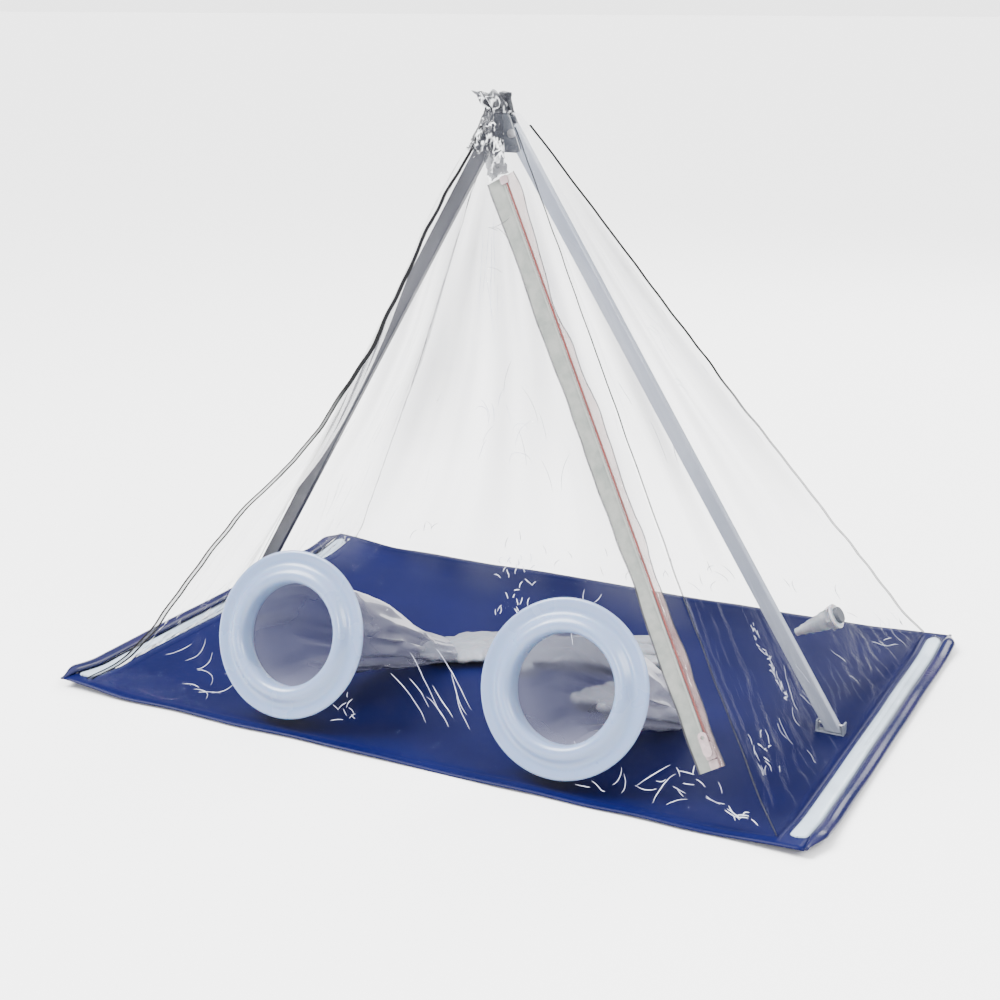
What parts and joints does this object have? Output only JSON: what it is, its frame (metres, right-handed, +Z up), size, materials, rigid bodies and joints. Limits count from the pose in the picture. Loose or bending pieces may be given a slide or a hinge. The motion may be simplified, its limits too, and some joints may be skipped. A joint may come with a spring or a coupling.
{
  "type": "pyramid glove bag",
  "caption": "Clear film pyramid glove bag on a flat base mat, with an A-frame, two glove ports, a zip and a gas port; it folds flat.",
  "frame": {"origin": "middle of the base mat's underside", "axes": "+X along the long side of the mat, to the user's right; -Y towards the user and the glove ports; +Z up"},
  "size_m": [0.8, 0.54, 0.5906],
  "materials": {
    "mat_pvc": "smooth PVC sheet, soft gloss",
    "batten_white": "satin strip",
    "clear_film": "clear glossy film with creases",
    "ring_plastic": "translucent moulded plastic, soft gloss",
    "gasket_rubber": "soft translucent rubber",
    "glove_film": "thin milky film",
    "zip_tape_matte": "matte tape",
    "zip_red": "extruded profile",
    "slider_plastic": "moulded plastic",
    "rod_plastic": "extruded plastic bar",
    "rivet_metal": "bright rivet",
    "port_plastic": "moulded translucent plastic",
    "plug_rubber": "dark rubber"
  },
  "bodies": {
    "base": {"base_mat": "mat_pvc", "left_hem": "mat_pvc", "right_hem": "mat_pvc", "left_batten": "batten_white", "right_batten": "batten_white", "left_batten_sleeve": "clear_film", "right_batten_sleeve": "clear_film", "base_weld_band": "clear_film", "canopy_left": "clear_film", "canopy_right": "clear_film", "canopy_back": "clear_film", "left_glove": "glove_film", "right_glove": "glove_film"},
    "front_wall": {"canopy_front": "clear_film", "left_port_ring": "ring_plastic", "left_port_gasket": "gasket_rubber", "left_port_clamp": "ring_plastic", "left_cuff_band": "gasket_rubber", "right_port_ring": "ring_plastic", "right_port_gasket": "gasket_rubber", "right_port_clamp": "ring_plastic", "right_cuff_band": "gasket_rubber", "zip_tape": "zip_tape_matte", "zip_margin": "clear_film", "zip_grey_profile": "zip_tape_matte", "zip_red_profile": "zip_red", "zip_bottom_stop": "slider_plastic", "zip_top_stop": "slider_plastic"},
    "zip_slider": {"zip_slider": "slider_plastic", "zip_pull": "slider_plastic"},
    "feet": {"left_foot_shoe": "rod_plastic", "right_foot_shoe": "rod_plastic", "left_foot_pin": "rivet_metal", "right_foot_pin": "rivet_metal"},
    "frame": {"left_rod": "rod_plastic", "right_rod": "rod_plastic", "hub_front_plate": "rod_plastic", "hub_back_plate": "rod_plastic", "hub_rivets": "rivet_metal", "apex_tuft": "clear_film"},
    "gas_port": {"gas_flange": "port_plastic", "gas_nut": "port_plastic", "gas_nozzle": "port_plastic"},
    "gas_plug": {"gas_plug": "plug_rubber"}
  },
  "joints": [
    {"name": "front_fold", "type": "hinge", "parent": "base", "child": "front_wall", "pos_m": [0, -0.25532, 0.02012], "axis": [-1, 0, 0], "range_deg": [0, 66.48], "deforming": ["canopy_front", "canopy_left", "canopy_right", "canopy_back", "left_glove", "right_glove"]},
    {"name": "feet_slide", "type": "slide", "parent": "base", "child": "feet", "axis": [0, -1, 0], "range_m": [0, 0.156]},
    {"name": "frame_fold", "type": "hinge", "parent": "feet", "child": "frame", "pos_m": [0, -0.022, 0.01], "axis": [-1, 0, 0], "range_deg": [0, 92.5]},
    {"name": "gas_port_drop", "type": "slide", "parent": "base", "child": "gas_port", "axis": [0, 0, -1], "range_m": [0, 0.045]},
    {"name": "zip_slide", "type": "slide", "parent": "front_wall", "child": "zip_slider", "axis": [-0.502, 0.2961, 0.8126], "range_m": [0, 0.547]},
    {"name": "plug_pull", "type": "slide", "parent": "gas_port", "child": "gas_plug", "axis": [0.8507, 0, 0.5256], "range_m": [0, 0.025]}
  ],
  "couplings": [
    {"joint": "feet_slide", "follows": "front_fold", "m_per_rad": 0.13359},
    {"joint": "frame_fold", "follows": "front_fold", "ratio": 1.3839},
    {"joint": "gas_port_drop", "follows": "front_fold", "m_per_rad": 0.037921}
  ]
}
